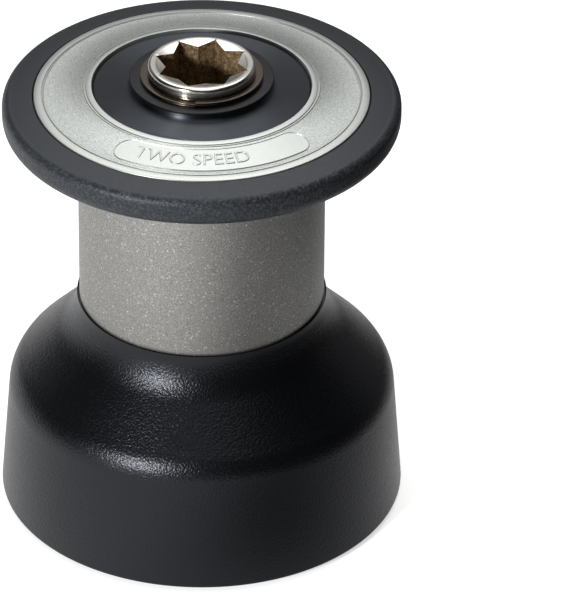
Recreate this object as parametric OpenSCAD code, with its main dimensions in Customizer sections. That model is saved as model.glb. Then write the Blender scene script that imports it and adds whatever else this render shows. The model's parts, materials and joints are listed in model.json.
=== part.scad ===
// Two-speed sailboat winch, plain top.
// Millimetres, +Z up. The origin is the centre of the face that sits on the deck.
// A handle turned clockwise drives the drum directly through the upper pawls.
// Turned the other way it drives the drum through pinion, idler and ring gear.

/* [Drum] */
// Wall of the drum's core around the bearing bore
core_wall = 7; // [6.5:0.1:9]
// Wall of the grip sleeve
sleeve_wall = 1.5; // [1:0.1:2]
// Height of the ledge that the sleeve stands on
sleeve_z0 = 60; // [58:0.5:64]
// Wall of the skirt around the ring gear, at deck height
skirt_wall = 6.15; // [6:0.05:12]
// How far the skirt leans in for each millimetre of height
skirt_lean = 0.08; // [0.04:0.01:0.1]
// Running gap between skirt and deck
skirt_gap = 1; // [0.8:0.1:2]
// Radius that rounds the top of the skirt
shoulder_r = 11; // [6:1:14]
// Radius of the hollow between shoulder and sleeve
waist_r = 18; // [14:1:22]
// How far the shoulder slope clears the top of the gear housing
slope_rise = 2.1; // [1.5:0.1:4]

/* [Top flange] */
// Radius of the top flange
flange_r = 52.1; // [50:0.5:58]
// Height of the flange's underside
flange_z0 = 111.4; // [108:0.2:116]
// Rounding of the flange's upper edge
flange_top_round = 2.2; // [1:0.2:3]
// Rounding of the flange's lower edge
flange_low_round = 5.2; // [3:0.2:6]

/* [Label ring] */
// Outer radius of the label ring
label_r = 43.84; // [42:0.2:45]
// Inner radius of the label ring
label_bore = 28.6; // [28:0.2:30]
// Thickness of the label ring
label_t = 1.8; // [1.2:0.1:2.2]
// Width of the raised outer border
outer_border = 2.3; // [1:0.1:3]
// Width of the raised inner border
inner_border = 1.7; // [1:0.1:3]
// Height of the borders above the field
border_h = 0.25; // [0.1:0.05:0.4]

/* [Spindle] */
// Height of the spindle's top above the flange's underside
spindle_rise = 18.6; // [17:0.1:24]
// Radius of the spindle's head
head_r = 14.05; // [13.8:0.05:14.4]
// Radius of the spindle below its head
spindle_r = 12.5; // [12:0.1:12.6]
// Width across the flats of the handle's square lug
socket_square = 17.46; // [17.2:0.02:17.6]
// Depth of the handle socket
socket_depth = 32; // [26:1:34]
// Turn of the socket's points at rest
socket_turn = 28.2; // [0:0.1:45]

/* [Bearings] */
// Wall of the stem that the roller bearings run on
stem_wall = 3; // [2.6:0.1:4]
// Room for the rollers between the stem and the drum's bore
roller_room = 6; // [5.6:0.1:6.6]
// Number of rollers in each bearing
rollers = 12; // [8:1:14]
// Length of a roller
roller_l = 18; // [12:1:20]
// Radial clearance of a roller on each side
roller_gap = 0.05; // [0.02:0.01:0.1]

/* [Gears] */
// Gear module
gear_module = 1.4; // [1.4:0.01:1.42]
// Teeth of the ring gear in the drum
ring_teeth = 60; // [60:6:60]
// Teeth of the idler gear
idler_teeth = 18; // [18:6:18]
// Backlash at each tooth flank
backlash = 0.14; // [0.1:0.01:0.2]
// Width of the gears
gear_w = 11; // [8:0.5:11.5]
// Teeth of each pawl ratchet
ratchet_teeth = 24; // [24:12:24]

/* [Base] */
// Gap between the base flange and the skirt around it
base_gap = 0.9; // [0.8:0.1:4]
// Thickness of the base flange
base_t = 6; // [5:0.5:6]
// Number of deck bolts
bolts = 6; // [4:1:6]
// Diameter of the deck bolt circle
bolt_pcd = 84; // [82:1:86]
// Radius of each deck bolt hole
bolt_hole_r = 3.25; // [2.6:0.05:3.5]

/* [Hidden] */
$fn = 96;
eps = 0.01;
running_gap = 0.08;
loose_gap = 0.3;

// Sizes that follow from the spindle outwards, and from the flange upwards
stem_bore = head_r + 0.95;
stem_r = stem_bore + stem_wall;
drum_bore = stem_r + roller_room;
core_r = drum_bore + core_wall;
sleeve_r = core_r + sleeve_wall;
spindle_top = flange_z0 + spindle_rise;

// Top cone, shared by the label ring and the flange around it
cone_slope = 2.8 / 15.24;
label_z = spindle_top - 6.3;
function cone_z(r) = label_z - (r - label_bore) * cone_slope;
label_seat_r = label_r + 0.26;
label_gap = 0.15;
function seat_z(r) = cone_z(r) - label_t - label_gap;
lug_count = 3;
lug = [5, 3, 2.6];
lug_r = 37.5;
lug_fit = 0.25;

// Drum core and what is let into it
hub_r = drum_bore + 5;
ratchet_ring_r = drum_bore + 1.4;
ratchet_ring_h = 9.9;
ratchet_ring_z = flange_z0 - ratchet_ring_h;
flange_hub_r = head_r + 2.15;
flange_hub_top = cone_z(label_bore) - 7.2;
cap_r = 33.8;
flange_screw_n = 6;
flange_screw_circle = (ratchet_ring_r + core_r) / 2;
flange_screw_l = 15;

// Gear train: the idler and the pinion stay in mesh with the ring gear
pressure_angle = 20;
ring_pitch_r = gear_module * ring_teeth / 2;
idler_pitch_r = gear_module * idler_teeth / 2;
pinion_teeth = ring_teeth - 2 * idler_teeth;
pinion_pitch_r = gear_module * pinion_teeth / 2;
idler_at = ring_pitch_r - idler_pitch_r;
gear_z = 18;
gear_top = gear_z + gear_w;
pinion_tip_r = pinion_pitch_r + gear_module;
idler_tip_r = idler_pitch_r + gear_module;
ring_seat_r = ring_pitch_r + 6;
ring_screw_n = 6;
ring_screw_circle = ring_pitch_r + 3.9;
core_z0 = gear_top + 8;
skirt_r = ring_seat_r + skirt_wall;
skirt_inner_r = skirt_r - 3.75;
slope_top = ring_seat_r + core_z0 + slope_rise;
idler_bush_r = 6;
idler_pin_r = 4;

// Base: from the deck up
base_r = skirt_inner_r - base_gap;
cavity_r = pinion_tip_r + 0.6;
plate_t = 3;
plate_r = cavity_r + 8.2;
plate_collar_r = cavity_r - 1.3;
plate_collar_z = 6.5;
disc_t = 0.5;
roof_z = gear_top + 0.6;
housing_top = core_z0 - 1;
lower_hub_r = cavity_r + 11.2;
upper_hub_r = cavity_r + 3.7;
lower_hub_top = gear_z - 0.5;
pin_boss_r = idler_pin_r + 4.5;
stem_top = ratchet_ring_z - 0.5;
bush_wall = 1.5;
upper_bush_l = 13;
journal_r = spindle_r - 3.5;
plate_screw_n = 4;
plate_screw_circle = (cavity_r + plate_r) / 2;
plate_screw_l = 9;

// Bearings: one roller set at each end of the stem, a spacer between
roller_r = (drum_bore - stem_r) / 2 - roller_gap;
roller_circle = (drum_bore + stem_r) / 2;
cage_wall = 3.4;
cage_l = roller_l + 4;
lower_cage_z = core_z0 + 0.2;
upper_cage_z = stem_top - cage_l - 0.6;
pocket_gap = 0.12;

// Spindle and its pawls
carrier_r = head_r + 6.55;
carrier_bore = head_r + 0.05;
carrier_z0 = ratchet_ring_z + 0.1;
carrier_top = flange_z0 - 0.5;
key_w = 4;
key_h = 1.3;
head_z0 = stem_top - upper_bush_l - 4;
washer_z = spindle_top - 4.8;
washer_t = 0.7;
washer_r = head_r + 4.8;
groove_z = washer_z + washer_t;
groove_h = 1.4;
groove_r = head_r - 0.75;
circlip_z = 1;
circlip_t = 1;

// One pawl set: pivot radius, heel radius, finger length, tip's outer edge, tip width,
// how far the tip is cut back, ratchet tip and root radius, turn of the ratchet, pawl height
UPPER = [head_r + 3.55, 2.2, 8.8, 1.1, 2.4, 1.5, carrier_r + 0.5, carrier_r + 3.1, 25.6];
LOWER = [spindle_r - 2.9, 1.9, 6.2, 1.08, 2, 1.6, spindle_r + 0.5, spindle_r + 2.7, 27.8];
upper_pawl_turn = 30;
lower_pawl_turn = 0;
upper_pawl_z = carrier_z0 + 0.8;
upper_pawl_h = carrier_top - upper_pawl_z - 0.1;
lower_pawl_z = plate_collar_z + disc_t + 0.1;
lower_pawl_h = 8.6;
spring_t = 0.3;
spring_h = 4;

function arc(centre, r, from, to, steps = 12) =
    [for (i = [0:steps]) let (a = from + (to - from) * i / steps) centre + r * [cos(a), sin(a)]];

module tube(outer, inner, height) {
    difference() {
        cylinder(r = outer, h = height);
        translate([0, 0, -1]) cylinder(r = inner, h = height + 2);
    }
}

module around(count, radius, start = 0) {
    for (i = [0:count - 1]) rotate(start + 360 * i / count) translate([radius, 0, 0]) children();
}

// Countersunk screw with a hexagon socket, head up at z = 0
module countersunk(shank, length, head) {
    difference() {
        union() {
            translate([0, 0, -length]) cylinder(r = shank, h = length);
            translate([0, 0, shank - head]) cylinder(r1 = shank, r2 = head, h = head - shank);
        }
        translate([0, 0, -1.4]) cylinder(r = shank * 0.7, h = 2, $fn = 6);
    }
}

// Involute gear outline. root and tip are radii, gap thins every tooth flank.
function involute(a) = tan(a) * 180 / PI - a;
function half_tooth(teeth, r, gap) =
    let (pitch_r = gear_module * teeth / 2, base_circle = pitch_r * cos(pressure_angle))
    90 / teeth - gap / pitch_r * 180 / PI + involute(pressure_angle)
        - (r > base_circle ? involute(acos(base_circle / r)) : 0);
function flank_radii(teeth, root, tip) =
    let (low = max(root, gear_module * teeth / 2 * cos(pressure_angle) + 0.05))
    concat(low > root + 0.1 ? [root] : [], [for (i = [0:3]) low + (tip - low) * i / 3]);
function gear_points(teeth, root, tip, gap) =
    let (radii = flank_radii(teeth, root, tip), last = len(radii) - 1)
    [for (t = [0:teeth - 1], side = [-1, 1], i = [0:last])
        let (
            r = radii[side < 0 ? i : last - i],
            a = 360 * t / teeth + side * half_tooth(teeth, r, gap)
        ) r * [cos(a), sin(a)]];

// Inside of a ratchet: each tooth has a radial face, and a back that slopes away from it
module ratchet_space(set, height) {
    pitch = 360 / ratchet_teeth;
    land = 0.08 * pitch;
    linear_extrude(height)
        polygon([for (i = [0:ratchet_teeth - 1], p = [[set[7], 0], [set[6], pitch - land], [set[6], pitch]])
            let (a = i * pitch + p[1]) p[0] * [cos(a), sin(a)]]);
}

// One pawl, folded, with its heel on the origin and its finger along -Y
module pawl(set, height) {
    cylinder(r = set[1], h = height, $fn = 48);
    linear_extrude(height) polygon([
        [set[1] * 0.6, 0],
        [set[3], -set[2]],
        [set[3] - set[4], set[5] - set[2]],
        [-set[1] * 0.9, 0]
    ]);
}

// Leaf spring that bows from the pawl's inner side
module pawl_spring(set, height) {
    y = [-set[1] - 0.6, -set[2] * 0.5, set[5] - set[2] + 0.6];
    x = [for (v = y) -set[1] * 0.9 + (set[1] * 0.9 + set[3] - set[4]) * v / (set[5] - set[2]) - 0.02];
    linear_extrude(height) polygon([
        [x[0], y[0]], [x[1] - spring_t, y[1]], [x[2], y[2]],
        [x[2] - spring_t, y[2] - 0.1], [x[1] - 2 * spring_t, y[1]], [x[0] - spring_t, y[0] + 0.1]
    ]);
}

// Room that a pawl and its spring swing in
module pawl_pocket(set, height) {
    cylinder(r = set[1] + running_gap, h = height, $fn = 48);
    translate([-set[1] - 0.2, -set[2] - 0.7, 0]) cube([4 * set[1], set[2] - 0.3, height]);
}

module at_pawl(set, turn, z) {
    rotate(turn) translate([set[0], 0, z]) children();
}

module deck_base() {
    color("gainsboro") difference() {
        union() {
            cylinder(r = base_r, h = base_t);
            cylinder(r = lower_hub_r, h = lower_hub_top);
            cylinder(r = upper_hub_r, h = housing_top);
            cylinder(r = stem_r, h = stem_top);
            pin_boss(0, lower_hub_top);
            pin_boss(roof_z, housing_top - roof_z);
        }
        translate([0, 0, -1]) cylinder(r = plate_r, h = plate_t + 1);
        cylinder(r = cavity_r, h = roof_z);
        cylinder(r = stem_bore, h = stem_top + 1);
        translate([0, 0, stem_top - upper_bush_l]) cylinder(r = head_r + bush_wall, h = upper_bush_l + 1);
        translate([0, -idler_at, lower_hub_top]) cylinder(r = idler_tip_r + 0.8, h = roof_z - lower_hub_top);
        translate([0, -idler_at, plate_t + 2]) cylinder(r = idler_pin_r, h = housing_top);
        around(bolts, bolt_pcd / 2) translate([0, 0, -1]) cylinder(r = bolt_hole_r, h = base_t + 2);
        around(plate_screw_n, plate_screw_circle, 45) cylinder(r = 2, h = plate_screw_l);
    }
}

// Lug that carries one end of the idler pin
module pin_boss(z, height) {
    translate([0, -idler_at, z]) cylinder(r = pin_boss_r, h = height);
    translate([-pin_boss_r, -idler_at, z]) cube([2 * pin_boss_r, idler_at - cavity_r, height]);
}

module bottom_plate() {
    color("silver") difference() {
        union() {
            translate([0, 0, 0.5]) cylinder(r = plate_r - 0.1, h = plate_t - 0.5);
            translate([0, 0, plate_t - eps]) cylinder(r = plate_collar_r, h = plate_collar_z - plate_t + eps);
        }
        cylinder(r = journal_r + bush_wall, h = plate_collar_z + 1);
        cylinder(r = journal_r + 3, h = circlip_z + circlip_t + 0.2);
        around(plate_screw_n, plate_screw_circle, 45) {
            cylinder(r = 2, h = plate_t + 1);
            translate([0, 0, 0.5]) cylinder(r1 = 3.8, r2 = 2, h = 1.8);
        }
    }
}

module plate_screws() {
    color("lightgray") around(plate_screw_n, plate_screw_circle, 45)
        translate([0, 0, 0.5]) mirror([0, 0, 1]) countersunk(2, plate_screw_l - 0.5, 3.8);
}

module lower_bush() {
    z = circlip_z + circlip_t + 0.2;
    color("goldenrod") translate([0, 0, z])
        tube(journal_r + bush_wall, journal_r + running_gap, plate_collar_z - z);
}

module upper_bush() {
    color("goldenrod") translate([0, 0, stem_top - upper_bush_l])
        tube(head_r + bush_wall, head_r + running_gap, upper_bush_l);
}

// Carries the spindle and the pinion, and keeps the lower pawls in
module thrust_disc() {
    color("goldenrod") translate([0, 0, plate_collar_z])
        tube(plate_collar_r, journal_r + loose_gap, disc_t);
}

module idler_pin() {
    color("lightgray") translate([0, -idler_at, plate_t + 2])
        cylinder(r = idler_pin_r, h = housing_top - plate_t - 2.4);
}

module idler_washers() {
    color("goldenrod") for (z = [lower_hub_top, roof_z - disc_t])
        translate([0, -idler_at, z]) tube(pin_boss_r, idler_pin_r, disc_t);
}

module drum_thrust_washer() {
    color("white") translate([0, 0, housing_top])
        tube(drum_bore + 3.5, stem_r + 0.2, core_z0 - housing_top);
}

module bearing_spacer() {
    z = lower_cage_z + cage_l + 0.2;
    color("white") translate([0, 0, z]) tube(stem_r + 3, stem_r + 0.1, upper_cage_z - z - 0.2);
}

module drum_bell() {
    lean = atan(skirt_lean);
    shoulder_z = (slope_top - skirt_r - shoulder_r * (sqrt(2) - 1 / cos(lean))) / (1 - skirt_lean);
    shoulder = [slope_top - shoulder_r * sqrt(2) - shoulder_z, shoulder_z];
    lip_r = sleeve_r + 0.6;
    waist = [lip_r + waist_r, slope_top - lip_r + waist_r * (sqrt(2) - 1)];
    waist_end = 180 + asin((waist[1] - sleeve_z0) / waist_r);
    color("#1c1d1f") difference() {
        rotate_extrude($fn = 180) polygon(concat(
            [[skirt_inner_r, skirt_gap], [skirt_r - skirt_lean - 0.4, skirt_gap],
                [skirt_r - skirt_lean, skirt_gap + 0.4]],
            arc(shoulder, shoulder_r, lean, 45, 8),
            arc(waist, waist_r, 225, waist_end, 10),
            [[core_r, sleeve_z0], [core_r, flange_z0], [ratchet_ring_r, flange_z0],
                [ratchet_ring_r, ratchet_ring_z], [drum_bore, ratchet_ring_z], [drum_bore, core_z0],
                [hub_r, core_z0], [hub_r, core_z0 + 10], [hub_r + 4, core_z0 + 10],
                [ring_seat_r - 6, core_z0 + 1], [ring_seat_r - 3.5, core_z0 - 4],
                [ring_seat_r - 3.5, gear_top + 0.2], [ring_seat_r, gear_top + 0.2],
                [ring_seat_r, gear_z - 0.5], [skirt_inner_r, gear_z - 3]]
        ));
        around(flange_screw_n, flange_screw_circle) translate([0, 0, flange_hub_top - flange_screw_l])
            cylinder(r = 2, h = flange_screw_l);
        around(ring_screw_n, ring_screw_circle, 30) translate([0, 0, gear_top])
            cylinder(r = 1.25, h = 4.5);
    }
}

module drum_sleeve() {
    color("silver") translate([0, 0, sleeve_z0]) tube(sleeve_r, core_r, flange_z0 - sleeve_z0, $fn = 180);
}

module top_flange() {
    rim_z = flange_z0 + flange_low_round;
    top_end = flange_r - flange_top_round - 0.4;
    corner = [flange_r - flange_top_round, cone_z(top_end) - flange_top_round - 0.05];
    color("#3a3d42") difference() {
        rotate_extrude($fn = 180) polygon(concat(
            [[flange_hub_r, flange_z0]],
            arc([flange_r - flange_low_round, rim_z], flange_low_round, -90, 0, 10),
            arc(corner, flange_top_round, 0, 80, 8),
            [[label_seat_r, cone_z(label_seat_r)], [label_seat_r, seat_z(label_seat_r)],
                [cap_r + 0.1, seat_z(cap_r + 0.1)], [cap_r + 0.1, flange_hub_top],
                [flange_hub_r, flange_hub_top]]
        ));
        around(lug_count, lug_r, 90) lug_block(lug_fit);
        around(flange_screw_n, flange_screw_circle) {
            translate([0, 0, flange_z0 - 1]) cylinder(r = 2, h = 10);
            translate([0, 0, flange_hub_top - 1.8]) cylinder(r1 = 2, r2 = 3.8, h = 1.8);
        }
    }
}

// Snap lug under the label ring; grow makes the slot that takes it
module lug_block(grow) {
    top = cone_z(lug_r) - label_t;
    translate([-lug[1] / 2 - grow, -lug[0] / 2 - grow, top - lug[2] - grow])
        cube([lug[1] + 2 * grow, lug[0] + 2 * grow, lug[2] + grow + (grow > 0 ? 2 : 0.6)]);
}

module flange_screws() {
    color("lightgray") around(flange_screw_n, flange_screw_circle)
        translate([0, 0, flange_hub_top]) countersunk(2, flange_screw_l, 3.8);
}

module drum_cap() {
    bore = head_r + loose_gap;
    boss_r = washer_r - 0.45;
    dish_r = label_bore - 0.3;
    dish_z = cone_z(label_bore) - 0.85;
    fillet = 1.1;
    floor_z = washer_z - 1.75;
    color("#17181a") rotate_extrude($fn = 180) polygon(concat(
        [[bore, flange_hub_top], [bore + 5, flange_hub_top], [bore + 6.5, flange_hub_top + 2.6],
            [cap_r - 4, flange_hub_top + 2.6], [cap_r - 4, flange_hub_top], [cap_r, flange_hub_top],
            [cap_r, seat_z(cap_r)], [dish_r, seat_z(dish_r)], [dish_r, dish_z - 0.2],
            [dish_r - 0.2, dish_z]],
        arc([boss_r + fillet, floor_z + fillet], fillet, 270, 180, 6),
        [[boss_r, washer_z - 0.3], [boss_r - 0.3, washer_z], [bore, washer_z]]
    ));
}

module ring_gear() {
    color("#b59a5b") difference() {
        translate([0, 0, gear_z]) cylinder(r = ring_seat_r, h = gear_w + 0.2, $fn = 180);
        translate([0, 0, gear_z - 1]) linear_extrude(gear_w + 3)
            polygon(gear_points(ring_teeth, ring_pitch_r - 0.8 * gear_module,
                ring_pitch_r + 1.25 * gear_module, -backlash));
        around(ring_screw_n, ring_screw_circle, 30) translate([0, 0, gear_z - 1])
            cylinder(r = 1.25, h = gear_w + 3, $fn = 32);
    }
}

module ring_gear_screws() {
    color("lightgray") around(ring_screw_n, ring_screw_circle, 30) difference() {
        union() {
            translate([0, 0, gear_z]) cylinder(r = 1.25, h = gear_w + 4);
            translate([0, 0, gear_z - 2.4]) cylinder(r = 2.2, h = 2.4);
        }
        translate([0, 0, gear_z - 3]) cylinder(r = 1.2, h = 1.6, $fn = 6);
    }
}

module ratchet_ring() {
    color("#8f9296") difference() {
        translate([0, 0, ratchet_ring_z]) cylinder(r = ratchet_ring_r, h = ratchet_ring_h);
        translate([0, 0, ratchet_ring_z - 1]) rotate(upper_pawl_turn - UPPER[8])
            ratchet_space(UPPER, ratchet_ring_h + 2);
    }
}

module label_ring() {
    field = [label_bore + inner_border, label_r - outer_border];
    color("#d4d4cf") {
        rotate_extrude($fn = 180) polygon([
            [label_bore, cone_z(label_bore) - label_t],
            [label_r, cone_z(label_r) - label_t],
            [label_r, cone_z(label_r) - 0.15],
            [label_r - 0.15, cone_z(label_r)],
            [field[1], cone_z(field[1])],
            [field[1] - 0.1, cone_z(field[1]) - border_h],
            [field[0] + 0.1, cone_z(field[0]) - border_h],
            [field[0], cone_z(field[0])],
            [label_bore + 0.15, cone_z(label_bore)],
            [label_bore, cone_z(label_bore) - 0.15]
        ]);
        around(lug_count, lug_r, 90) lug_block(0);
    }
}

module main_spindle() {
    color("#c9c4ba") difference() {
        union() {
            translate([0, 0, 0.8]) cylinder(r = journal_r, h = 10);
            translate([0, 0, plate_collar_z + disc_t]) cylinder(r = spindle_r, h = head_z0 - plate_collar_z);
            translate([0, 0, head_z0]) cylinder(r1 = spindle_r, r2 = head_r, h = head_r - spindle_r);
            translate([0, 0, head_z0 + head_r - spindle_r])
                cylinder(r = head_r, h = spindle_top - head_z0 - head_r + spindle_r - 0.5);
            translate([0, 0, spindle_top - 0.5]) cylinder(r1 = head_r, r2 = head_r - 0.5, h = 0.5);
            carrier_keys(key_h, 0);
        }
        translate([0, 0, spindle_top - socket_depth]) handle_star(socket_depth + 1);
        translate([0, 0, spindle_top - 1.5])
            cylinder(r1 = socket_square * 0.54, r2 = socket_square * 0.66, h = 1.6);
        translate([0, 0, groove_z]) tube(head_r + 1, groove_r, groove_h);
        translate([0, 0, circlip_z]) tube(journal_r + 1, journal_r - 0.8, circlip_t + 0.2);
        for (side = [0, 180]) mirror([0, 1, 0]) at_pawl(LOWER, lower_pawl_turn + side, plate_collar_z)
            pawl_pocket(LOWER, lower_pawl_h + 0.8);
    }
}

// Eight-point socket: two squares an eighth of a turn apart
module handle_star(depth) {
    for (turn = [0, 45]) rotate(socket_turn + 45 + turn)
        linear_extrude(depth) square(socket_square, center = true);
}

// Two keys that turn the pawl carrier; grow makes the keyways
module carrier_keys(height, grow) {
    for (side = [0, 180]) rotate(upper_pawl_turn + 62 + side)
        translate([head_r - 1, -key_w / 2 - grow, carrier_z0 - 0.1 - 10 * grow])
            cube([height + 1 + grow, key_w + 2 * grow, carrier_top - carrier_z0 + 20 * grow]);
}

module pawl_carrier() {
    color("#a9855a") difference() {
        translate([0, 0, carrier_z0]) cylinder(r = carrier_r, h = carrier_top - carrier_z0);
        translate([0, 0, carrier_z0 - 1]) cylinder(r = carrier_bore, h = carrier_top);
        carrier_keys(key_h, 0.1);
        for (side = [0, 180]) at_pawl(UPPER, upper_pawl_turn + side, upper_pawl_z - 0.1)
            pawl_pocket(UPPER, carrier_top);
    }
}

module spindle_washer() {
    color("#202124") translate([0, 0, washer_z]) tube(washer_r, head_r + 0.1, washer_t, $fn = 180);
}

// Spiral ring of two turns, each open by a small step at the front
module retaining_ring() {
    turn_t = 0.6;
    gap_w = 1.6;
    color("silver") difference() {
        translate([0, 0, groove_z]) tube(washer_r - 2.8, groove_r + 0.05, 2 * turn_t);
        for (turn = [0, 1]) rotate(-98 + 8 * turn)
            translate([0, -gap_w / 2, groove_z + turn * turn_t]) cube([washer_r, gap_w, turn_t]);
    }
}

module spindle_circlip() {
    color("lightgray") translate([0, 0, circlip_z + 0.1]) rotate(-60)
        rotate_extrude(angle = 320) translate([journal_r - 0.75, 0]) square([3, circlip_t]);
}

module upper_pawl(side) {
    color("lightgray") at_pawl(UPPER, upper_pawl_turn + side, upper_pawl_z) pawl(UPPER, upper_pawl_h);
}

module lower_pawl(side) {
    color("lightgray") mirror([0, 1, 0]) at_pawl(LOWER, lower_pawl_turn + side, lower_pawl_z)
        pawl(LOWER, lower_pawl_h);
}

module upper_spring(side) {
    color("gold") at_pawl(UPPER, upper_pawl_turn + side, upper_pawl_z + (upper_pawl_h - spring_h) / 2)
        pawl_spring(UPPER, spring_h);
}

module lower_spring(side) {
    color("gold") mirror([0, 1, 0])
        at_pawl(LOWER, lower_pawl_turn + side, lower_pawl_z + (lower_pawl_h - spring_h) / 2)
            pawl_spring(LOWER, spring_h);
}

module pinion() {
    z = plate_collar_z + disc_t + 0.05;
    web_z = lower_pawl_z + lower_pawl_h + 0.7;
    color("#9a9da1") difference() {
        union() {
            translate([0, 0, z]) cylinder(r = pinion_tip_r + 0.2, h = lower_hub_top - z);
            translate([0, 0, lower_hub_top]) linear_extrude(gear_top - lower_hub_top + 0.2)
                rotate(180 / pinion_teeth)
                    polygon(gear_points(pinion_teeth, pinion_pitch_r - 1.25 * gear_module,
                        pinion_tip_r, backlash));
        }
        translate([0, 0, z - 1]) cylinder(r = spindle_r + running_gap, h = gear_top);
        translate([0, 0, z - 1]) mirror([0, 1, 0]) rotate(lower_pawl_turn - LOWER[8])
            ratchet_space(LOWER, web_z - z + 1);
    }
}

module idler_gear() {
    color("#b59a5b") translate([0, -idler_at, gear_z + 0.05]) difference() {
        linear_extrude(gear_w - 0.1) rotate(90)
            polygon(gear_points(idler_teeth, idler_pitch_r - 1.25 * gear_module, idler_tip_r, backlash));
        translate([0, 0, -1]) cylinder(r = idler_bush_r, h = gear_w + 2);
    }
}

module idler_bush() {
    color("goldenrod") translate([0, -idler_at, gear_z + 0.05])
        tube(idler_bush_r, idler_pin_r + running_gap, gear_w - 0.1);
}

module cage(z) {
    color("ivory") translate([0, 0, z]) difference() {
        tube(roller_circle + cage_wall / 2, roller_circle - cage_wall / 2, cage_l);
        around(rollers, roller_circle) translate([0, 0, cage_l / 2])
            cube([8, 2 * (roller_r + pocket_gap), roller_l + 2 * pocket_gap], center = true);
    }
}

module roller_set(z) {
    color("silver") around(rollers, roller_circle) translate([0, 0, z + (cage_l - roller_l) / 2])
        cylinder(r = roller_r, h = roller_l, $fn = 32);
}

deck_base();
bottom_plate();
plate_screws();
lower_bush();
upper_bush();
thrust_disc();
idler_pin();
idler_washers();
drum_thrust_washer();
bearing_spacer();
drum_bell();
drum_sleeve();
top_flange();
flange_screws();
drum_cap();
ring_gear();
ring_gear_screws();
ratchet_ring();
label_ring();
main_spindle();
pawl_carrier();
spindle_washer();
retaining_ring();
spindle_circlip();
upper_pawl(0);  // upper_pawl_a
upper_pawl(180);  // upper_pawl_b
lower_pawl(0);  // lower_pawl_a
lower_pawl(180);  // lower_pawl_b
upper_spring(0);  // upper_spring_a
upper_spring(180);  // upper_spring_b
lower_spring(0);  // lower_spring_a
lower_spring(180);  // lower_spring_b
pinion();
idler_gear();
idler_bush();
cage(lower_cage_z);  // lower_cage
roller_set(lower_cage_z);  // lower_rollers
cage(upper_cage_z);  // upper_cage
roller_set(upper_cage_z);  // upper_rollers
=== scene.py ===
# Sailboat winch, two speeds, plain top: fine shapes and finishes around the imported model
import json
import math

import bmesh
import bpy
from mathutils import Matrix, Vector


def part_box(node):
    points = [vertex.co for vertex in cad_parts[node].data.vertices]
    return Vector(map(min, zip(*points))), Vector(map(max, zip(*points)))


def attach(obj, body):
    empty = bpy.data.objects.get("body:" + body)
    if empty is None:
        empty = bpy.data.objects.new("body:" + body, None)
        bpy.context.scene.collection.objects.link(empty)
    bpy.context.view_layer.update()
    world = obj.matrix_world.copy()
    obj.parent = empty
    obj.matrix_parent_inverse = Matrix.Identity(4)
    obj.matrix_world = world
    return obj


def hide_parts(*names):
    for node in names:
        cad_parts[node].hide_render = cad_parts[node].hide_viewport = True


mm = 0.001
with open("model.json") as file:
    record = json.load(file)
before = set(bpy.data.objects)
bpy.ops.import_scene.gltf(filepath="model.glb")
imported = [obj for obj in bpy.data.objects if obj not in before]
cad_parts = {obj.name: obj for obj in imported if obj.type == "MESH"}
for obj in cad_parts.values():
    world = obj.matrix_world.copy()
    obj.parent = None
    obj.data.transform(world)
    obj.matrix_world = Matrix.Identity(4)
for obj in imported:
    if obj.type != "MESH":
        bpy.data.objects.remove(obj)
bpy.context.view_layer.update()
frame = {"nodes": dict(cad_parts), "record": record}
print("frame loaded:", len(frame["nodes"]), "nodes")


# ---- small helpers

def toLinear(hexCode, alpha=1.0):
    channels = [int(hexCode[i:i + 2], 16) / 255 for i in (1, 3, 5)]
    linear = [c / 12.92 if c <= 0.04045 else ((c + 0.055) / 1.055) ** 2.4 for c in channels]
    return (*linear, alpha)


def addNode(tree, kind, settings=None, **links):
    # settings are properties or socket defaults, links are sockets to join to inputs
    node = tree.nodes.new(kind)
    for key, value in (settings or {}).items():
        if isinstance(key, str) and hasattr(node, key):
            setattr(node, key, value)
        else:
            node.inputs[key].default_value = value
    for key, source in links.items():
        socket = node.inputs[int(key[1:])] if key[0] == "i" and key[1:].isdigit() else node.inputs[key]
        tree.links.new(source, socket)
    return node


def newMaterial(name, base, roughness, metallic=0.0, **extra):
    # a Principled surface and the Object coordinates that its patterns read
    material = bpy.data.materials.new(name)
    material.use_nodes = True
    tree = material.node_tree
    shader = tree.nodes["Principled BSDF"]
    shader.inputs["Base Color"].default_value = toLinear(base)
    shader.inputs["Roughness"].default_value = roughness
    shader.inputs["Metallic"].default_value = metallic
    for socket, value in extra.items():
        shader.inputs[socket.replace("_", " ")].default_value = value
    place = addNode(tree, "ShaderNodeTexCoord").outputs["Object"]
    return material, tree, shader, place


def noiseAt(tree, place, sizeMm, detail=2.0, rough=0.5):
    # a noise whose lumps are about sizeMm across
    return addNode(tree, "ShaderNodeTexNoise",
                   {"Scale": 1 / (sizeMm * mm), "Detail": detail, "Roughness": rough}, Vector=place).outputs["Fac"]


def ramp(tree, fac, stops):
    node = addNode(tree, "ShaderNodeValToRGB", Fac=fac)
    points = node.color_ramp.elements
    while len(points) < len(stops):
        points.new(0.5)
    for point, (position, colour) in zip(points, stops):
        point.position = position
        point.color = toLinear(colour) if isinstance(colour, str) else (colour, colour, colour, 1)
    return node.outputs["Color"]


def addBump(tree, shader, height, depthMm, under=None):
    links = {"Height": height}
    if under:
        links["Normal"] = under
    bump = addNode(tree, "ShaderNodeBump", {"Strength": 1.0, "Distance": depthMm * mm}, **links)
    tree.links.new(bump.outputs["Normal"], shader.inputs["Normal"])
    return bump.outputs["Normal"]


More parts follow.
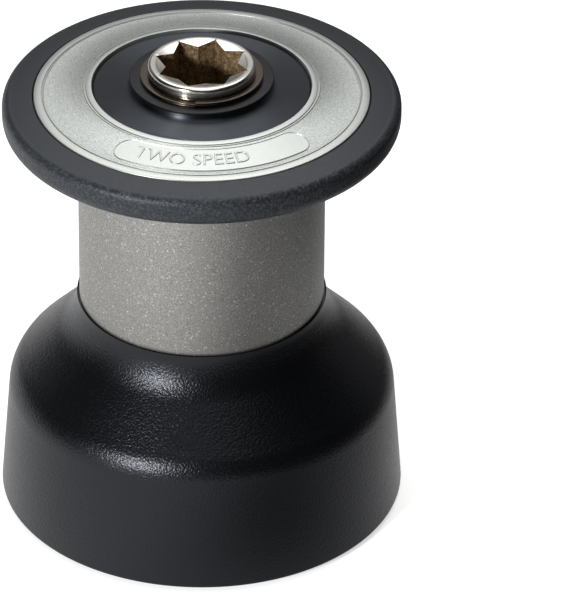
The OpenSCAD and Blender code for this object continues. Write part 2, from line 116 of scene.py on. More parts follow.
def meshPiece(name, bm, body, materials, replaced=(), sharp=35):
    mesh = bpy.data.meshes.new(name)
    bm.to_mesh(mesh)
    bm.free()
    for material in materials:
        mesh.materials.append(material)
    mesh.polygons.foreach_set("use_smooth", [True] * len(mesh.polygons))
    mesh.set_sharp_from_angle(angle=math.radians(sharp))
    piece = bpy.data.objects.new(name, mesh)
    bpy.context.scene.collection.objects.link(piece)
    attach(piece, body)
    if replaced:
        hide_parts(*replaced)
    return piece


def rounded(corners, steps=6):
    # corners are (radius, height, rounding) in mm; a rounded corner becomes an arc
    outline = []
    count = len(corners)
    for i, (r, z, rounding) in enumerate(corners):
        here = Vector((r, z))
        if rounding <= 0:
            outline.append(here)
            continue
        before = (Vector(corners[i - 1][:2]) - here)
        after = (Vector(corners[(i + 1) % count][:2]) - here)
        half = before.angle(after) / 2
        reach = min(rounding / math.tan(half), before.length * 0.49, after.length * 0.49)
        radius = reach * math.tan(half)
        middle = here + (before.normalized() + after.normalized()).normalized() * (radius / math.sin(half))
        start = here + before.normalized() * reach - middle
        end = here + after.normalized() * reach - middle
        turn = start.angle_signed(end)
        for k in range(steps + 1):
            a = -turn * k / steps
            outline.append(middle + Vector((start.x * math.cos(a) - start.y * math.sin(a),
                                            start.x * math.sin(a) + start.y * math.cos(a))))
    return outline


def arc(r, z, radius, start, end, steps=10):
    turns = [math.radians(start + (end - start) * k / steps) for k in range(steps + 1)]
    return [Vector((r + radius * math.cos(a), z + radius * math.sin(a))) for a in turns]


def lathe(outline, segments=256, materialAt=None):
    # turns a closed outline in mm round the winch axis
    bm = bmesh.new()
    rings = []
    for j in range(segments):
        a = math.tau * j / segments
        rings.append([bm.verts.new((p.x * math.cos(a) * mm, p.x * math.sin(a) * mm, p.y * mm)) for p in outline])
    count = len(outline)
    for j in range(segments):
        here, there = rings[j], rings[(j + 1) % segments]
        for i in range(count):
            k = (i + 1) % count
            if outline[i].x < 1e-6 and outline[k].x < 1e-6:
                continue
            face = bm.faces.new((here[i], there[i], there[k], here[k]))
            if materialAt:
                face.material_index = materialAt((outline[i] + outline[k]) / 2)
    bmesh.ops.remove_doubles(bm, verts=bm.verts, dist=1e-7)
    bmesh.ops.recalc_face_normals(bm, faces=bm.faces)
    return bm


# ---- sizes in mm, most taken from the imported model

def high(node):
    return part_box(node)[1].z / mm


def low(node):
    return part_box(node)[0].z / mm


def radiusOf(node):
    lowest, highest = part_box(node)
    return (highest.x - lowest.x) / 2 / mm


sizes = {
    "spindleTop": high("main_spindle"),
    "labelTop": high("label_ring"),
    "labelR": 43.84,
    "labelBore": 28.6,
    "flangeR": radiusOf("top_flange"),
    "flangeLow": low("top_flange"),
    "sleeveR": radiusOf("drum_sleeve"),
    "sleeveLow": low("drum_sleeve"),
    "washerTop": high("spindle_washer"),
    "washerR": radiusOf("spindle_washer"),
    "headR": 14.05,
}
coneSlope = 2.8 / 15.24


def coneZ(r, drop=0.0):
    return sizes["labelTop"] - (r - sizes["labelBore"]) * coneSlope - drop


# ---- finishes

def blastedMetal():
    # grit-blasted hard chrome on bronze: warm grey, dull, with small bright facets that sparkle
    material, tree, shader, place = newMaterial("gritBlastedChrome", "#adaca9", 0.5, 1.0)
    grit = noiseAt(tree, place, 0.28, 1.0, 0.6)          # real grit is finer, this is as fine as shows
    pits = noiseAt(tree, place, 1.0, 1.0, 0.5)
    facets = addNode(tree, "ShaderNodeTexVoronoi", {"Scale": 1 / (0.34 * mm)}, Vector=place).outputs["Color"]
    chance = addNode(tree, "ShaderNodeSeparateXYZ", Vector=facets).outputs["X"]
    tint = ramp(tree, grit, [(0.25, "#8d8c8a"), (0.5, "#a9a8a5"), (0.72, "#c6c5c1")])
    fleck = ramp(tree, chance, [(0.95, 0.0), (0.99, 0.7)])
    mixed = addNode(tree, "ShaderNodeMix", {"data_type": "RGBA", 7: toLinear("#f4f3ef")}, i0=fleck, i6=tint)
    tree.links.new(mixed.outputs[2], shader.inputs["Base Color"])
    tree.links.new(ramp(tree, grit, [(0.35, 0.58), (0.7, 0.42)]), shader.inputs["Roughness"])
    coarse = addBump(tree, shader, pits, 0.02)
    addBump(tree, shader, grit, 0.05, coarse)
    return material


def grainedSilver(name, base, dark, light, depth):
    # cast zinc with a satin nickel skin: pale silver, the field finely pebbled, the borders plain
    material, tree, shader, place = newMaterial(name, base, 0.42, 0.9)
    fine = noiseAt(tree, place, 0.36, 2.0, 0.6)
    tree.links.new(ramp(tree, fine, [(0.3, dark), (0.7, light)]), shader.inputs["Base Color"])
    addBump(tree, shader, fine, depth)
    return material


def satinNylon():
    # glass-filled nylon, satin moulded, blue-grey black; its rim keeps the spark-eroded grain of the tool
    material, tree, shader, place = newMaterial("satinNylonBlack", "#1f2226", 0.42)
    shader.inputs["Specular Tint"].default_value = toLinear("#eef3ff")
    split = addNode(tree, "ShaderNodeSeparateXYZ", Vector=place)
    flat = addNode(tree, "ShaderNodeCombineXYZ", X=split.outputs["X"], Y=split.outputs["Y"])
    radius = addNode(tree, "ShaderNodeVectorMath", {"operation": "LENGTH"}, i0=flat.outputs[0]).outputs["Value"]
    rim = addNode(tree, "ShaderNodeMapRange", {"From Min": 0.0496, "From Max": 0.0512, "To Min": 0.12, "To Max": 1.0},
                  Value=radius).outputs[0]
    grain = noiseAt(tree, place, 0.7, 2.0, 0.65)
    kept = addNode(tree, "ShaderNodeMath", {"operation": "MULTIPLY"}, i0=grain, i1=rim).outputs[0]
    tree.links.new(ramp(tree, kept, [(0.1, "#1f2226"), (0.45, "#282b2f"), (0.7, "#4b4e50")]), shader.inputs["Base Color"])
    tree.links.new(ramp(tree, grain, [(0.3, 0.38), (0.7, 0.48)]), shader.inputs["Roughness"])
    addBump(tree, shader, kept, 0.2)
    return material


def grainedBlack():
    # black moulded skin with a fine leather grain; just under the sleeve it is left smooth
    material, tree, shader, place = newMaterial("leatherGrainBlack", "#0a0b0e", 0.3)
    shader.inputs["Specular Tint"].default_value = toLinear("#f0f4ff")
    cells = addNode(tree, "ShaderNodeTexVoronoi", {"feature": "SMOOTH_F1", "Scale": 1 / (0.62 * mm),
                    "Smoothness": 0.6, "Randomness": 1.0}, Vector=place).outputs["Distance"]
    fine = noiseAt(tree, place, 0.5, 2.0, 0.6)
    both = addNode(tree, "ShaderNodeMath", {"operation": "MULTIPLY_ADD", 1: 0.8}, i0=cells, i2=fine).outputs[0]
    height = addNode(tree, "ShaderNodeSeparateXYZ", Vector=place).outputs["Z"]
    collar = addNode(tree, "ShaderNodeMapRange", {"From Min": 0.0588, "From Max": 0.0565, "To Min": 0.15},
                     Value=height).outputs[0]
    masked = addNode(tree, "ShaderNodeMath", {"operation": "MULTIPLY"}, i0=both, i1=collar).outputs[0]
    tree.links.new(ramp(tree, fine, [(0.3, 0.26), (0.7, 0.36)]), shader.inputs["Roughness"])
    addBump(tree, shader, masked, 0.08)
    return material


def turnedTangent(tree, shader, strength):
    # lathe marks run round the axis, so shine stretches across them
    shader.inputs["Anisotropic"].default_value = strength
    shader.inputs["Anisotropic Rotation"].default_value = 0.25
    tangent = addNode(tree, "ShaderNodeTangent", {"direction_type": "RADIAL", "axis": "Z"})
    tree.links.new(tangent.outputs[0], shader.inputs["Tangent"])


def turnedBlack():
    # black anodised aluminium, finely turned: a deep satin black whose shine fans out from the middle
    material, tree, shader, place = newMaterial("turnedAnodisedBlack", "#4b4e53", 0.42, 1.0)
    faint = noiseAt(tree, place, 6, 3.0, 0.6)
    tree.links.new(ramp(tree, faint, [(0.3, 0.4), (0.7, 0.46)]), shader.inputs["Roughness"])
    turnedTangent(tree, shader, 0.92)
    addBump(tree, shader, noiseAt(tree, place, 1.6, 1.0, 0.5), 0.004)
    return material


def polishedSteel(name="polishedStainless", base="#e0dbd4", roughness=0.17):
    # turned and polished stainless steel: lathe rings and a slightly warm, stretched shine
    material, tree, shader, place = newMaterial(name, base, roughness, 1.0)
    split = addNode(tree, "ShaderNodeSeparateXYZ", Vector=place)
    flat = addNode(tree, "ShaderNodeCombineXYZ", X=split.outputs["X"], Y=split.outputs["Y"])
    radius = addNode(tree, "ShaderNodeVectorMath", {"operation": "LENGTH"}, i0=flat.outputs[0]).outputs["Value"]
    lines = addNode(tree, "ShaderNodeCombineXYZ", X=radius, Z=split.outputs["Z"]).outputs[0]
    turned = noiseAt(tree, lines, 0.35, 2.0, 0.6)
    tree.links.new(ramp(tree, turned, [(0.3, roughness * 0.8), (0.7, roughness * 1.5)]), shader.inputs["Roughness"])
    turnedTangent(tree, shader, 0.6)
    addBump(tree, shader, turned, 0.006)
    return material


def matteBlack():
    # black acetal as moulded: nearly black, its edges just catch the light
    material, tree, shader, place = newMaterial("mouldedAcetalBlack", "#0b0c0d", 0.38)
    fine = noiseAt(tree, place, 0.8, 2.0, 0.6)
    tree.links.new(ramp(tree, fine, [(0.3, 0.34), (0.7, 0.48)]), shader.inputs["Roughness"])
    shader.inputs["Specular IOR Level"].default_value = 0.3
    addBump(tree, shader, fine, 0.02)
    return material


def castBronze():
    # investment-cast bronze as it left the mould: brown, dull and pebbled
    material, tree, shader, place = newMaterial("castBronze", "#8f7657", 0.5, 0.4)
    lumps = noiseAt(tree, place, 0.85, 3.0, 0.65)
    tree.links.new(ramp(tree, lumps, [(0.32, "#5f4c37"), (0.52, "#8f7657"), (0.72, "#cdb792")]),
                   shader.inputs["Base Color"])
    addBump(tree, shader, lumps, 0.16)
    return material


def machined(name, base, roughness, metallic=1.0, grainMm=0.3):
    # plain machined or moulded inner part, told apart by its colour and tool marks
    material, tree, shader, place = newMaterial(name, base, roughness, metallic)
    marks = noiseAt(tree, place, grainMm, 2.0, 0.5)
    stretched = noiseAt(tree, place, 6, 2.0, 0.5)
    tree.links.new(ramp(tree, stretched, [(0.3, roughness * 0.85), (0.7, min(1.0, roughness * 1.25))]),
                   shader.inputs["Roughness"])
    addBump(tree, shader, marks, 0.01)
    return material


finishes = {
    "sleeve": blastedMetal(),
    "field": grainedSilver("pebbledNickel", "#bfc2bf", "#9fa3a0", "#dadddA", 0.05),
    "border": grainedSilver("satinNickel", "#c3c6c2", "#bdc0bc", "#c9ccc8", 0.006),
    "flange": satinNylon(),
    "bell": grainedBlack(),
    "cap": turnedBlack(),
    "washer": matteBlack(),
    "steel": polishedSteel(),
    # the spiral ring's steel, darkened far below steel's own colour as painted shade; the warm tint is its own
    "warmSteelPaintedShade": polishedSteel("springStainlessPaintedShade", "#645b52", 0.2),
    "bronze": castBronze(),
}
slotFinishes = {
    "cast_base": machined("anodisedCasting", "#b9bab8", 0.45),
    "steel_screws": machined("stainlessScrews", "#b4b3b0", 0.3),
    "bronze": machined("machinedBronze", "#b08a52", 0.32),
    "bearing_plastic": machined("acetalIvory", "#dcd8ca", 0.4, 0.0, 1.5),
    "hard_steel": machined("groundToolSteel", "#8f8f90", 0.28),
    "spring_steel": machined("springWire", "#a89c84", 0.3),
}
print("finishes made:", len(finishes) + len(slotFinishes))


# ---- pieces

bell = {"skirtR": 54.15, "lean": 0.08, "gap": 1.0, "shoulderR": 11.0, "waistR": 18.0, "slopeTop": 87.1}


def makeBell(values):
    lean = math.atan(values["lean"])
    root = math.sqrt(2)
    top = sizes["sleeveLow"]
    lip = sizes["sleeveR"] + 0.6
    shoulderZ = (values["slopeTop"] - values["skirtR"] - values["shoulderR"] * (root - 1 / math.cos(lean))) \
        / (1 - values["lean"])
    shoulderX = values["slopeTop"] - values["shoulderR"] * root - shoulderZ
    waistX = lip + values["waistR"]
    waistZ = values["slopeTop"] - lip + values["waistR"] * (root - 1)
    waistEnd = 180 + math.degrees(math.asin((waistZ - top) / values["waistR"]))
    foot = values["skirtR"] - values["lean"] * values["gap"]
    outline = rounded([(foot - 3.6, values["gap"], 0.6), (foot, values["gap"], 0.9), (foot - 1, 13, 0)])[:-1]
    outline += arc(shoulderX, shoulderZ, values["shoulderR"], math.degrees(lean), 45, 14)
    outline += arc(waistX, waistZ, values["waistR"], 225, waistEnd - 1.2, 18)
    lipR = waistX - values["waistR"] * math.cos(math.radians(waistEnd - 180))
    outline += arc(lipR - 0.35, top - 0.36, 0.36, 0, 90, 4)
    inner = [(31, 60), (31, 111.4), (25.4, 111.4), (25.4, 101.5), (24, 101.5), (24, 37), (29, 37), (29, 47),
             (33, 47), (42, 38), (44.5, 33), (44.5, 29.2), (48, 29.2), (48, 17.5), (foot - 3.6, 15)]
    outline += [Vector(p) for p in inner]
    return meshPiece("bellCasting", lathe(outline, 288), "drum", [finishes["bell"]], ["drum_bell"])


def makeSleeve():
    r, wall = sizes["sleeveR"], 1.5
    outline = rounded([(r - wall, sizes["sleeveLow"], 0), (r, sizes["sleeveLow"], 0.45),
                       (r, sizes["flangeLow"], 0), (r - wall, sizes["flangeLow"], 0)])
    return meshPiece("gripSleeve", lathe(outline, 288), "drum", [finishes["sleeve"]], ["drum_sleeve"])


flange = {"topRound": 2.4, "lowRound": 5.2, "seatR": 44.1, "labelT": 1.95, "capR": 33.9, "hubTop": 116.5, "hubR": 16.2}


def makeFlange(values):
    r, z = sizes["flangeR"], sizes["flangeLow"]
    seat = values["seatR"]
    corners = [
        (values["hubR"], z, 0), (sizes["sleeveR"] + 1, z, 0), (r, z, values["lowRound"]),
        (r, coneZ(r) + 0.2, values["topRound"]), (seat, coneZ(seat), 0.25), (seat, coneZ(seat, values["labelT"]), 0),
        (values["capR"], coneZ(values["capR"], values["labelT"]), 0), (values["capR"], values["hubTop"], 0),
        (values["hubR"], values["hubTop"], 0)]
    return meshPiece("flangeRim", lathe(rounded(corners, 10), 288), "drum", [finishes["flange"]],
                     ["top_flange"])


label = {"thick": 1.8, "groove": 0.32, "grooveDepth": 0.3, "fieldDrop": 0.22, "outerBorder": 2.0, "innerBorder": 1.6}


def makeLabelRing(values):
    inner, outer = sizes["labelBore"], sizes["labelR"]
    groove, deep, drop = values["groove"], values["grooveDepth"], values["fieldDrop"]
    borderOut = outer - values["outerBorder"]
    borderIn = inner + values["innerBorder"]
    steps = [  # radius, depth below the cone, rounding
        (outer, values["thick"], 0), (outer, 0, 0.25),
        (borderOut, 0, 0.06), (borderOut, deep, 0.05), (borderOut - groove, deep, 0.05), (borderOut - groove, 0, 0.06),
        (borderOut - 2 * groove, 0, 0.06), (borderOut - 2 * groove, drop, 0.06),
        (borderIn + 2 * groove, drop, 0.06), (borderIn + 2 * groove, 0, 0.06),
        (borderIn + groove, 0, 0.06), (borderIn + groove, deep, 0.05), (borderIn, deep, 0.05), (borderIn, 0, 0.06),
        (inner, 0, 0.25), (inner, values["thick"], 0)]
    outline = rounded([(r, coneZ(r, depth), rounding) for r, depth, rounding in steps], 3)
    low, top = borderIn + 2 * groove, borderOut - 2 * groove

    def part(middle):
        onField = low < middle.x < top and middle.y > coneZ(middle.x, drop + 0.05)
        return 0 if onField else 1
    bm = lathe(outline, 320, part)
    piece = meshPiece("labelRing", bm, "label_ring", [finishes["field"], finishes["border"]], ["label_ring"])
    return piece


panel = {"inner": 31.6, "outer": 39.9, "from": -37.5, "to": 47.5, "line": 0.28, "rise": 0.16}


def onCone(r, azimuth, lift):
    # a point over the cone: azimuth is measured from the front, to the right
    a = math.radians(azimuth - 90)
    return Vector((r * math.cos(a), r * math.sin(a), coneZ(r) + lift)) * mm


def pillEdge(inner, outer, start, end, inset=0.0, steps=96):
    # closed loop round a pill that follows the ring, as (radius, azimuth) pairs
    middle, half = (inner + outer) / 2, (outer - inner) / 2
    loop = [(outer - inset, start + (end - start) * k / steps) for k in range(steps + 1)]
    for k in range(1, 24):
        a = math.radians(90 - 180 * k / 24)
        loop.append((middle + (half - inset) * math.sin(a), end + math.degrees((half - inset) * math.cos(a) / middle)))
    loop += [(inner + inset, end - (end - start) * k / steps) for k in range(steps + 1)]
    for k in range(1, 24):
        a = math.radians(-90 + 180 * k / 24)
        loop.append((middle + (half - inset) * math.sin(a), start - math.degrees((half - inset) * math.cos(a) / middle)))
    return loop


def makePanel(values):
    # smooth pill between the borders: a raised line round a plain face that stands just over the field
    bm = bmesh.new()
    end = math.degrees((values["outer"] - values["inner"]) / 2 / 36)
    start, stop = values["from"] + end, values["to"] - end
    drop = -label["fieldDrop"]
    rows = [(0, drop - 0.3), (0, values["rise"] + drop), (0.08, values["rise"] + drop + 0.05),
            (values["line"], values["rise"] + drop + 0.05), (values["line"] + 0.08, drop + 0.06)]
    loops = []
    for inset, lift in rows:
        edge = pillEdge(values["inner"], values["outer"], start, stop, inset)
        loops.append([bm.verts.new(onCone(r, a, lift)) for r, a in edge])
    count = len(loops[0])
    for lower, upper in zip(loops, loops[1:]):
        for k in range(count):
            bm.faces.new((lower[k], lower[(k + 1) % count], upper[(k + 1) % count], upper[k]))
    # the face is filled with triangles across its edge loop
    inset = values["line"] + 0.08
    edge = pillEdge(values["inner"], values["outer"], start, stop, inset)
    bmesh.ops.triangle_fill(bm, use_beauty=True, edges=[e for e in bm.edges if e.is_boundary
                            and all(v in set(loops[-1]) for v in e.verts)])
    bmesh.ops.recalc_face_normals(bm, faces=bm.faces)
    top = max(bm.faces, key=lambda f: f.calc_area())
    if top.normal.z < 0:
        bmesh.ops.reverse_faces(bm, faces=bm.faces)
    return meshPiece("labelPanel", bm, "label_ring", [finishes["border"]], (), 25)


lettering = {"words": "TWO SPEED", "tall": 4.1, "wide": 29.8, "middle": -4.2, "radius": 35.6, "rise": 0.46, "bevel": 0.03}


def makeLetters(values):
    # raised capitals, bent round the ring and laid on the cone
    curve = bpy.data.curves.new("letters", "FONT")
    curve.body = values["words"]
    curve.size = 1.0
    curve.extrude = values["bevel"] / 2
    curve.bevel_depth = values["bevel"]
    curve.bevel_resolution = 1
    curve.offset = -values["bevel"]
    curve.resolution_u = 8
    holder = bpy.data.objects.new("letters", curve)
    bpy.context.scene.collection.objects.link(holder)
    bpy.context.view_layer.update()
    mesh = bpy.data.meshes.new_from_object(holder)
    bpy.data.objects.remove(holder)
    bm = bmesh.new()
    bm.from_mesh(mesh)
    bmesh.ops.remove_doubles(bm, verts=bm.verts, dist=1e-6)
    bmesh.ops.subdivide_edges(bm, edges=[e for e in bm.edges if e.calc_length() > 0.12], cuts=2)
    xs = [v.co.x for v in bm.verts]
    ys = [v.co.y for v in bm.verts]
    left, foot = min(xs), min(ys)
    across, up = values["wide"] / (max(xs) - left), values["tall"] / (max(ys) - foot)
    for vertex in bm.verts:
        x, y, z = vertex.co
        arcLength = (x - left) * across - values["wide"] / 2
        r = values["radius"] + values["tall"] / 2 - (y - foot) * up        # tops point to the winch axis
        turn = values["middle"] + math.degrees(arcLength / values["radius"])
        lift = z / (3 * values["bevel"]) * values["rise"]
        vertex.co = onCone(r, turn, lift - label["fieldDrop"] + 0.06)
    bmesh.ops.recalc_face_normals(bm, faces=bm.faces)
    return meshPiece("labelLetters", bm, "label_ring", [finishes["border"]], (), 25)


cap = {"bore": 14.35, "bossR": 18.45, "fillet": 1.1, "floor": 123.45, "dishR": 28.3, "capR": 33.8, "hubTop": 116.5}


def makeCap(values):
    # a dish that rises slightly towards the low boss under the spindle washer
    dishZ = coneZ(sizes["labelBore"], 0.85)
    washerLow = low("spindle_washer")
    seat = label["thick"] + 0.15
    fillet = values["fillet"]
    outline = [Vector(p) for p in (
        (values["bore"], values["hubTop"]), (19.35, values["hubTop"]), (20.85, values["hubTop"] + 2.6),
        (values["capR"] - 4, values["hubTop"] + 2.6), (values["capR"] - 4, values["hubTop"]),
        (values["capR"], values["hubTop"]), (values["capR"], coneZ(values["capR"], seat)),
        (values["dishR"], coneZ(values["dishR"], seat)))]
    outline += arc(values["dishR"] - 0.4, dishZ - 0.4, 0.4, 0, 90, 6)
    outline += arc(values["bossR"] + fillet, values["floor"] + fillet, fillet, 272, 184, 10)
    outline += arc(values["bossR"] - 0.25, washerLow - 0.25, 0.25, 0, 90, 4)
    outline += [Vector((values["bore"], washerLow))]
    return meshPiece("capDish", lathe(outline, 256), "drum", [finishes["cap"]], ["drum_cap"])


def makeWasher():
    z, r = low("spindle_washer"), sizes["washerR"]
    outline = rounded([(14.15, z, 0), (r, z, 0.12), (r, sizes["washerTop"], 0.22), (14.15, sizes["washerTop"], 0)], 4)
    return meshPiece("spindleWasher", lathe(outline, 256), "spindle", [finishes["washer"]], ["spindle_washer"])


spindle = {"squareHalf": 8.73, "turn": 28.2, "depth": 32.0, "coneTop": 11.9, "coneLow": 9.35, "coneDrop": 0.65,
           "rimRound": 1.0, "divisions": 384}


def starRadius(values, azimuth):
    # outline of two squares an eighth of a turn apart
    reach = []
    for turn in (0, 45):
        a = math.radians((azimuth - values["turn"] - 45 - turn + 45) % 90 - 45)
        reach.append(values["squareHalf"] / math.cos(a))
    return max(reach)


def makeSpindle(values):
    # rings of points from the foot up, over the head and down the star: radius and height of each by azimuth
    top, head = sizes["spindleTop"], sizes["headR"]
    wide, narrow, deep = values["coneTop"], values["coneLow"], values["coneDrop"]
    outside = [(0, 0.8), (9, 0.8), (9, 1), (8.2, 1), (8.2, 2.2), (9, 2.2), (9, 7), (12.5, 7), (12.5, 83.9),
               (head, 85.45), (head, 125.9), (13.3, 125.9), (13.3, 127.3), (head - 0.2, 127.32), (head, 127.5)]
    outside += [(p.x, p.y) for p in arc(head - values["rimRound"], top - values["rimRound"],
                                        values["rimRound"], 0, 90, 8)]
    rings = [(lambda a, r=r, z=z: (r, z), 0) for r, z in outside]

    def mouth(azimuth, share):
        # the lead-in cone runs down to where it meets the star's walls
        star = starRadius(values, azimuth)
        drop = min(max((wide - star) / (wide - narrow), 0.02), 1.0) * share
        return max(star, wide + (narrow - wide) * drop), top - deep * drop - 0.05

    def wall(azimuth, depth):
        return starRadius(values, azimuth), top - depth
    rings.append((lambda a: (max(starRadius(values, a), wide) + 0.12, top), 0))
    rings += [(lambda a, share=k / 4: mouth(a, share), 0) for k in range(5)]
    rings += [(lambda a, depth=depth: wall(a, depth), 1) for depth in (1.4, 2.2, 8, 16, 24, values["depth"])]
    rings += [(lambda a: (4.0, top - values["depth"] - 0.4), 1), (lambda a: (0.0, top - values["depth"] - 2.4), 1)]
    bm = bmesh.new()
    count = values["divisions"]
    grid = []
    for place, _ in rings:
        row = []
        for j in range(count):
            azimuth = values["turn"] + 360 * j / count
            radius, height = place(azimuth)
            a = math.radians(azimuth)
            row.append(bm.verts.new((radius * math.cos(a) * mm, radius * math.sin(a) * mm, height * mm)))
        grid.append(row)
    for i in range(len(rings) - 1):
        for j in range(count):
            k = (j + 1) % count
            face = bm.faces.new((grid[i][j], grid[i][k], grid[i + 1][k], grid[i + 1][j]))
            face.material_index = rings[i + 1][1]
    bmesh.ops.remove_doubles(bm, verts=bm.verts, dist=1e-6)
    bmesh.ops.recalc_face_normals(bm, faces=bm.faces)
    return meshPiece("spindleShaft", bm, "spindle", [finishes["steel"], finishes["bronze"]],
                     ["main_spindle"], 28)


spiral = {"inner": 13.35, "outer": 16.05, "low": 125.9, "turn": 0.6, "turns": 2.0, "start": -96.0, "soft": 0.16}


def makeSpiralRing(values):
    # flat wire wound two turns: a Geometry Nodes sweep along a helix, with a step where each end stops
    tree = bpy.data.node_groups.new("spiralWire", "GeometryNodeTree")
    tree.interface.new_socket("Geometry", in_out="OUTPUT", socket_type="NodeSocketGeometry")
    inputs = {}
    for name, value in (("Mean Radius", (values["inner"] + values["outer"]) / 2 * mm), ("Turns", values["turns"]),
                        ("Pitch", values["turn"] * mm), ("Wire Width", (values["outer"] - values["inner"]) * mm),
                        ("Wire Thickness", values["turn"] * 0.94 * mm), ("Edge Radius", values["soft"] * mm)):
        socket = tree.interface.new_socket(name, in_out="INPUT", socket_type="NodeSocketFloat")
        inputs[socket.identifier] = value
    slotSocket = tree.interface.new_socket("Finish", in_out="INPUT", socket_type="NodeSocketMaterial")
    inputs[slotSocket.identifier] = finishes["warmSteelPaintedShade"]
    given = addNode(tree, "NodeGroupInput").outputs
    height = addNode(tree, "ShaderNodeMath", {"operation": "MULTIPLY"}, i0=given["Turns"], i1=given["Pitch"])
    path = addNode(tree, "GeometryNodeCurveSpiral", {"Resolution": 160}, Rotations=given["Turns"],
                   **{"Start Radius": given["Mean Radius"], "End Radius": given["Mean Radius"],
                      "Height": height.outputs[0]})
    upright = addNode(tree, "GeometryNodeSetCurveNormal", Curve=path.outputs[0])
    upright.mode = "Z_UP"
    wire = addNode(tree, "GeometryNodeCurvePrimitiveQuadrilateral", None, Width=given["Wire Width"],
                   Height=given["Wire Thickness"])
    softened = addNode(tree, "GeometryNodeFilletCurve", {"mode": "POLY"}, Curve=wire.outputs[0],
                       Radius=given["Edge Radius"])
    softened.inputs["Count"].default_value = 3
    swept = addNode(tree, "GeometryNodeCurveToMesh", {"Fill Caps": True}, Curve=upright.outputs[0],
                    **{"Profile Curve": softened.outputs[0]})
    real = addNode(tree, "GeometryNodeRealizeInstances", None, Geometry=swept.outputs[0])
    coated = addNode(tree, "GeometryNodeSetMaterial", None, Geometry=real.outputs[0], Material=given["Finish"])
    out = addNode(tree, "NodeGroupOutput")
    tree.links.new(coated.outputs[0], out.inputs[0])
    holder = bpy.data.objects.new("spiralHolder", bpy.data.meshes.new("spiralHolder"))
    bpy.context.scene.collection.objects.link(holder)
    modifier = holder.modifiers.new("spiral", "NODES")
    modifier.node_group = tree
    for identifier, value in inputs.items():
        modifier[identifier] = value
    bpy.context.view_layer.update()
    mesh = bpy.data.meshes.new_from_object(holder.evaluated_get(bpy.context.evaluated_depsgraph_get()))
    bpy.data.objects.remove(holder)
    bm = bmesh.new()
    bm.from_mesh(mesh)
    bmesh.ops.rotate(bm, verts=bm.verts, cent=(0, 0, 0), matrix=Matrix.Rotation(math.radians(values["start"]), 3, "Z"))
    heights = [v.co.z for v in bm.verts]
    span = max(heights) - min(heights)
    limit = 2.4 * values["turn"] * mm
    for vertex in bm.verts:
        # the wound pitch is pressed flat, so the coil fills its groove
        vertex.co.z = values["low"] * mm + (vertex.co.z - min(heights)) * min(1.0, limit / span)
    bmesh.ops.recalc_face_normals(bm, faces=bm.faces)
    return meshPiece("spiralRing", bm, "spindle", [finishes["warmSteelPaintedShade"]], ["retaining_ring"], 40)


def finishNodes():
    # CAD nodes that keep their own shape take the finish of their slot
    slots = {s["node"]: s["material_slot"] for s in frame["record"]["subparts"]}
    done = 0
    for name, obj in frame["nodes"].items():
        finish = slotFinishes.get(slots[name])
        if finish is None:
            continue
        obj.data.materials.clear()
        obj.data.materials.append(finish)
        done += 1
    print("inner nodes finished:", done)


finishNodes()
for maker, values in ((makeBell, bell), (makeFlange, flange), (makeLabelRing, label), (makePanel, panel),
                      (makeLetters, lettering), (makeCap, cap), (makeSpindle, spindle), (makeSpiralRing, spiral)):
    made = maker(values)
    print("made", made.name, len(made.data.polygons), "faces")
makeSleeve()
makeWasher()


# ---- studio

studio = {
    "floorSize": 3.0, "paper": "#f4f4f2", "glow": 0.62,       # white paper, lifted so that shadows stay pale
    "floorLeft": 0.85, "floorRight": 0.04, "fade": (0.0, 0.22), # painted glow that only the object sees from the paper: bright on the left, falling away on the right
    "shade": (0.05, -0.085, 0.1, 0.15),                        # x, y and reach of the painted shade round the object in that glow, and its level
    "ambient": 0.02,
    "softboxes": {                                             # direction, cosines of edge and core, strength
        "backdrop": ((0.0, 0.8, 0.6), 0.92, 0.985, 0.45),
        "overhead": ((0.0, 0.42, 0.9), 0.85, 0.97, 2.4),
        "surround": ((0.0, 0.9, 0.3), 0.4, 0.9, 0.12),
        "leftHorizon": ((-0.9, 0.42, 0.0), 0.95, 0.99, 0.2),
        "frontLow": ((-0.7, -0.7, 0.0), 0.8, 0.99, 0.52),
        "frontHigh": ((0.05, -0.25, 0.97), 0.93, 0.99, 1.2),
        "rightHorizon": ((0.85, 0.5, 0.1), 0.93, 0.99, 0.1),
    },
    "key": ((-0.7, -0.98, 0.5), 0.16, 11.0),                   # place, size and watts of the one real lamp
}


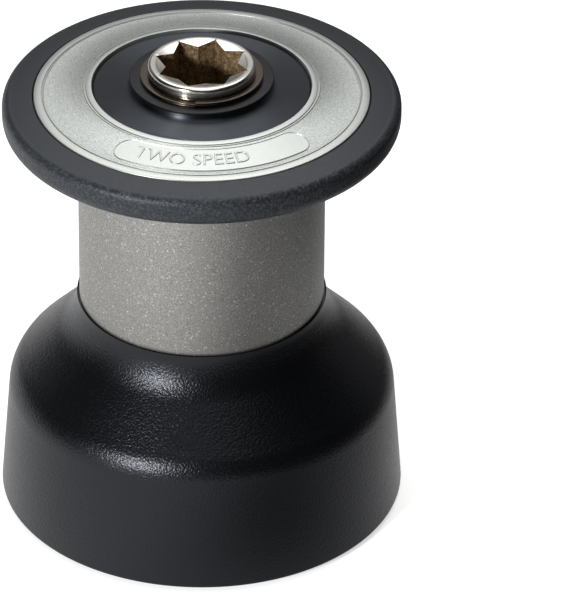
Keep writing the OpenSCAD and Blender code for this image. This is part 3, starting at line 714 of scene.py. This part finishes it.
def makeFloor(values):
    bm = bmesh.new()
    bmesh.ops.create_grid(bm, x_segments=1, y_segments=1, size=values["floorSize"])
    mesh = bpy.data.meshes.new("floor")
    bm.to_mesh(mesh)
    bm.free()
    floor = bpy.data.objects.new("floor", mesh)
    bpy.context.scene.collection.objects.link(floor)
    material, tree, shader, place = newMaterial("studioPaper", values["paper"], 0.9)
    shader.inputs["Specular IOR Level"].default_value = 0.0
    shader.inputs["Emission Color"].default_value = (1, 1, 1, 1)
    shader.inputs["Emission Strength"].default_value = values["glow"]
    # to every ray but the camera's the paper is a painted glow, bright on the left and falling away on the right, with
    # painted shade round the object
    x, y, reach, level = values["shade"]
    side = addNode(tree, "ShaderNodeSeparateXYZ", Vector=place).outputs["X"]
    across = addNode(tree, "ShaderNodeMapRange", {"From Min": values["fade"][0], "From Max": values["fade"][1], "To Min": values["floorLeft"],
                     "To Max": values["floorRight"], "interpolation_type": "SMOOTHSTEP"}, Value=side).outputs[0]
    gap = addNode(tree, "ShaderNodeVectorMath", {"operation": "DISTANCE", 1: (x, y, 0)}, i0=place).outputs["Value"]
    near = addNode(tree, "ShaderNodeMapRange", {"From Min": 0.0, "From Max": reach, "To Min": level, "To Max": 1.0,
                   "interpolation_type": "SMOOTHSTEP"}, Value=gap).outputs[0]
    given = addNode(tree, "ShaderNodeMath", {"operation": "MULTIPLY"}, i0=across, i1=near).outputs[0]
    # the painted glow and its painted shade light the object in place of light off the paper
    paintedGlow = addNode(tree, "ShaderNodeEmission", {"Color": (1, 1, 1, 1)}, Strength=given)
    seen = addNode(tree, "ShaderNodeLightPath").outputs["Is Camera Ray"]
    mixed = addNode(tree, "ShaderNodeMixShader", None, i0=seen, i1=paintedGlow.outputs[0], i2=shader.outputs[0])
    tree.links.new(mixed.outputs[0], tree.nodes["Material Output"].inputs["Surface"])
    mesh.materials.append(material)


def makeLights(values):
    place, size, watts = values["key"]
    light = bpy.data.lights.new("keySoftbox", "AREA")
    light.size = size
    light.energy = watts
    lamp = bpy.data.objects.new("keySoftbox", light)
    lamp.location = place
    lamp.rotation_euler = (Vector((0, 0, 0.08)) - Vector(place)).to_track_quat("-Z", "Y").to_euler()
    bpy.context.scene.collection.objects.link(lamp)
    world = bpy.data.worlds.new("studioRoom")
    bpy.context.scene.world = world
    world.use_nodes = True
    tree = world.node_tree
    direction = addNode(tree, "ShaderNodeTexCoord").outputs["Generated"]
    total = addNode(tree, "ShaderNodeValue")
    total.outputs[0].default_value = values["ambient"]
    total = total.outputs[0]
    for towards, edge, core, strength in values["softboxes"].values():
        aimed = addNode(tree, "ShaderNodeVectorMath", {"operation": "DOT_PRODUCT",
                        1: Vector(towards).normalized()}, i0=direction).outputs["Value"]
        soft = addNode(tree, "ShaderNodeMapRange", {"From Min": edge, "From Max": core, "To Min": 0.0,
                       "To Max": strength, "interpolation_type": "SMOOTHSTEP"}, Value=aimed).outputs[0]
        total = addNode(tree, "ShaderNodeMath", {"operation": "ADD"}, i0=total, i1=soft).outputs[0]
    room = tree.nodes["Background"]
    room.inputs["Color"].default_value = (1, 1, 1, 1)
    tree.links.new(total, room.inputs["Strength"])
    seen = addNode(tree, "ShaderNodeBackground", {"Color": (1, 1, 1, 1), "Strength": 1.0})
    ray = addNode(tree, "ShaderNodeLightPath").outputs["Is Camera Ray"]
    mixed = addNode(tree, "ShaderNodeMixShader", None, i0=ray, i1=room.outputs[0], i2=seen.outputs[0])
    tree.links.new(mixed.outputs[0], tree.nodes["World Output"].inputs["Surface"])


view = {"focal": 367.0, "sensor": 36.0, "back": 1.2985, "height": 0.8925,
        "pitch": 32.755, "shift": 0.1455}


def makeCamera(values):
    data = bpy.data.cameras.new("viewCamera")
    data.lens = values["focal"]
    data.sensor_width = values["sensor"]
    data.sensor_fit = "HORIZONTAL"
    data.clip_end = 20
    camera = bpy.data.objects.new("viewCamera", data)
    camera.location = (0, -values["back"], values["height"])
    camera.rotation_euler = (math.radians(90 - values["pitch"]), 0, 0)
    data.shift_x = values["shift"]
    bpy.context.scene.collection.objects.link(camera)
    bpy.context.scene.camera = camera


makeFloor(studio)
makeLights(studio)
makeCamera(view)
bpy.context.scene.view_settings.view_transform = "Standard"
print("studio set")
